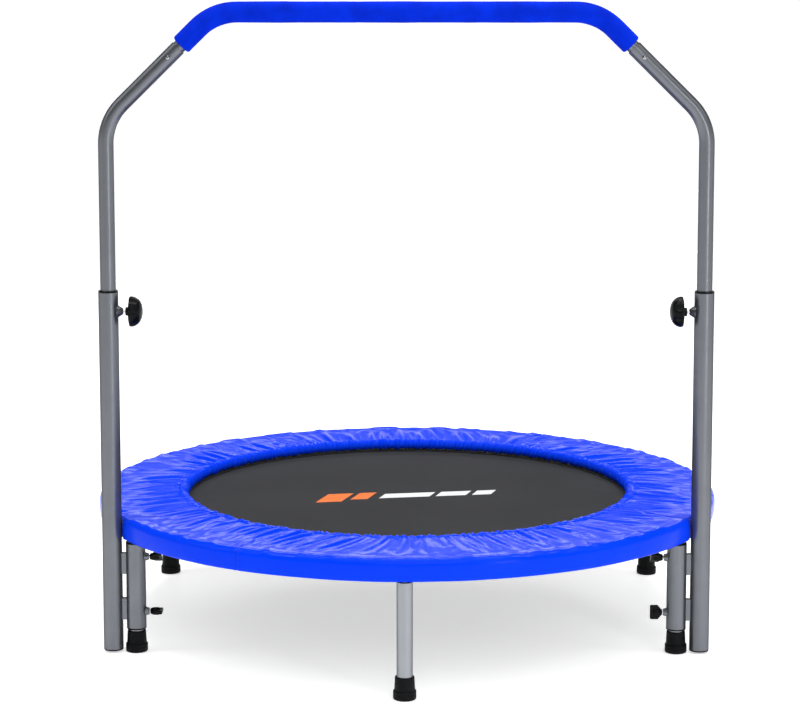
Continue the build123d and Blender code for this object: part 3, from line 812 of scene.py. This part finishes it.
# ------------------------------------------------------------------ foam grip
def grip():
    """Moulded foam tube along the top bar, with rounded mouths."""
    y, sides = middle_y, 40
    rad = (bar_high[1] - bar_low[1]) / 2
    zc = bar_high[2] - rad
    # the top bar's right half: its sloping end's foot, the corner of the bend, the bend's radius
    low, top, turn = Vector((0.540, y, 0.9787)), Vector((0.343, y, zc)), 0.1
    grip_from = 0.1925  # how far up the sloping end the grip starts
    d = (top - low).normalized()
    start = low + d * grip_from
    ang = math.acos(-d.x)
    tan = turn * math.tan(ang / 2)
    a0 = top - d * tan
    centre = Vector((top.x - tan, y, zc - turn))
    right = [start.lerp(a0, t) for t in np.linspace(0, 1, 14)]
    t0 = math.atan2(a0.z - centre.z, a0.x - centre.x)
    for t in np.linspace(0, 1, 18)[1:]:
        a = t0 + (math.pi / 2 - t0) * t
        right.append(Vector((centre.x + turn * math.cos(a), y, centre.z + turn * math.sin(a))))
    path = [tuple(p) for p in right]
    path += [(x, y, zc) for x in np.linspace(right[-1].x, -right[-1].x, 60)[1:-1]]
    path += [(-p.x, p.y, p.z) for p in right[::-1]]
    path = np.array(path)
    s = np.concatenate([[0], np.cumsum(np.linalg.norm(np.diff(path, axis=0), axis=1))])
    total = s[-1]
    mouth = np.array([0, 0.0006, 0.0014, 0.0024, 0.0036])
    keep = np.unique(np.concatenate([mouth, np.arange(0.006, total - 0.006, 0.006), total - mouth]))
    path = np.stack([np.interp(keep, s, path[:, k]) for k in range(3)], 1)
    edge = np.minimum(keep, total - keep)
    radius = rad - 0.0028 * (1 - np.clip(edge / 0.0036, 0, 1)) ** 2.2
    ripples = ((31, 0.00012, 0.3), (57, 0.0001, 1.9), (113, 0.00006, 4.1))
    soft = sum(a * np.sin(k * keep + p) for k, a, p in ripples)
    v, f = tube_mesh(path, radius + soft * np.clip(edge / 0.02, 0, 1), sides)
    f = f[:-2]
    bore = 0.0142
    ends = []
    n = len(v)
    for row, k in ((0, 0), (len(path) - 1, -1)):
        c = path[k]
        inward = path[1] - path[0] if k == 0 else path[-2] - path[-1]
        inward = inward / np.linalg.norm(inward)
        ring = v[row * sides : row * sides + sides]
        lip = c + (ring - c) * ((bore + 0.0012) / np.linalg.norm(ring - c, axis=1))[:, None]
        deep = c + (ring - c) * (bore / np.linalg.norm(ring - c, axis=1))[:, None] + inward * 0.003
        at = n + len(ends)
        ends += [*lip, *deep]
        for i in range(sides):
            j = (i + 1) % sides
            rim = [row * sides + i, row * sides + j, at + j, at + i]
            q = [rim, [at + i, at + j, at + sides + j, at + sides + i]]
            f += q if k == 0 else [list(reversed(x)) for x in q]
    v = np.concatenate([v, np.array(ends)])
    return make_mesh("foam_grip_soft", v, f, M["blue_foam"])


foam = grip()
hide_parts("foam_grip")
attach(foam, "handle")

# ------------------------------------------------------------------ materials of the CAD nodes
slot_of = {s["node"]: s["material_slot"] for s in frame["record"]["subparts"]}
for name, obj in nodes.items():
    if obj.hide_render:
        continue
    # the legs get a lighter copy of the silver paint of the sleeves, poles and handle: a painted highlight
    # for the brighter light on the legs
    takes_lit_leg_paint = name.startswith("leg_") and slot_of[name] == "silver_paint" and "sleeve" not in name
    obj.data.materials.clear()
    obj.data.materials.append(M["lit_leg_paint" if takes_lit_leg_paint else slot_of[name]])

# ------------------------------------------------------------------ studio
REACH, FLOOR_Z = 500, -0.0004
corners = [(x * REACH, y * REACH, FLOOR_Z) for x, y in ((-1, -1), (1, -1), (1, 1), (-1, 1))]
floor = make_mesh("studio_floor", corners, [(0, 1, 2, 3)], floor_mat(), False)

world = bpy.data.worlds.new("studio")
bpy.context.scene.world = world
world.use_nodes = True
tree = world.node_tree
way = tree.nodes.new("ShaderNodeTexCoord")
split = tree.nodes.new("ShaderNodeSeparateXYZ")
tree.links.new(way.outputs["Generated"], split.inputs[0])
both = tree.nodes.new("ShaderNodeMath")
both.operation = "MULTIPLY"
# the sky is bright near the horizon behind the object, and dimmer higher up and on the camera's side
ramps = (("Z", 0.075, 0.17, 1.0, 0.12), ("Y", -0.9, -0.3, 0.4, 1.0))
for i, (axis, from_low, from_high, to_low, to_high) in enumerate(ramps):
    fall = tree.nodes.new("ShaderNodeMapRange")
    fall.interpolation_type = "SMOOTHSTEP"
    values = (("From Min", from_low), ("From Max", from_high), ("To Min", to_low), ("To Max", to_high))
    for key, value in values:
        fall.inputs[key].default_value = value
    tree.links.new(split.outputs[axis], fall.inputs["Value"])
    tree.links.new(fall.outputs["Result"], both.inputs[i])
tree.links.new(both.outputs[0], tree.nodes["Background"].inputs["Strength"])
tree.nodes["Background"].inputs["Color"].default_value = (1, 1, 1, 1)


def softbox(name, at, target, size, power, shape_y=None):
    data = bpy.data.lights.new(name, "AREA")
    data.shape = "RECTANGLE"
    data.size = size
    data.size_y = shape_y or size
    data.energy = power
    obj = bpy.data.objects.new(name, data)
    bpy.context.scene.collection.objects.link(obj)
    obj.location = at
    obj.visible_camera = False
    obj.rotation_mode = "QUATERNION"
    obj.rotation_quaternion = (Vector(target) - Vector(at)).to_track_quat("-Z", "Y")


softbox("over", (0, 1.0, 3.6), (0, 0, 0.2), 1.8, 36, 0.8)
softbox("back", (0, 4.2, 2.3), (0, 0, 0.3), 3.2, 40, 0.6)
softbox("left", (-3.0, -0.6, 2.6), (0, 0, 0.3), 0.9, 13, 1.8)
softbox("right", (3.2, -1.0, 2.6), (0, 0, 0.3), 0.9, 10, 1.8)
softbox("front", (0.4, -3.8, 3.0), (0, 0, 0.3), 2.2, 40)
softbox("upright", (2.3, -3.6, 1.25), (0, 0, 0.7), 0.5, 32, 2.4)
softbox("strip_left", (-1.4, -0.4, 3.0), (-0.2, -0.5, 0.25), 0.8, 20, 0.25)
softbox("strip_right", (1.4, -0.4, 3.0), (0.2, -0.5, 0.25), 0.8, 18, 0.25)
sun_data = bpy.data.lights.new("even", "SUN")
sun_data.energy = 1.5
sun_data.angle = 1.2
sun = bpy.data.objects.new("even", sun_data)
bpy.context.scene.collection.objects.link(sun)
sun.rotation_euler = (0.12, 0.05, 0)

scene = bpy.context.scene
scene.view_settings.view_transform = "Standard"
scene.view_settings.look = "None"

# ------------------------------------------------------------------ camera
WIDTH, FOCAL = 800, 2325.0  # the picture's width and the focal length, in pixels
SENSOR = 36.0
height, away = 1.2276, 4.4599
tilt, turned = math.radians(7.206), math.radians(0.453)
camera = bpy.data.cameras.new("camera")
camera.sensor_width = SENSOR
camera.lens = FOCAL / WIDTH * SENSOR
camera.shift_y = -80 / WIDTH
camera.shift_x = -7.3 / WIDTH
camera.clip_start, camera.clip_end = 0.1, 2000
eye = bpy.data.objects.new("camera", camera)
scene.collection.objects.link(eye)
eye.location = (away * math.sin(turned), -away * math.cos(turned), height)
eye.rotation_euler = (math.pi / 2 - tilt, 0, turned)
scene.camera = eye
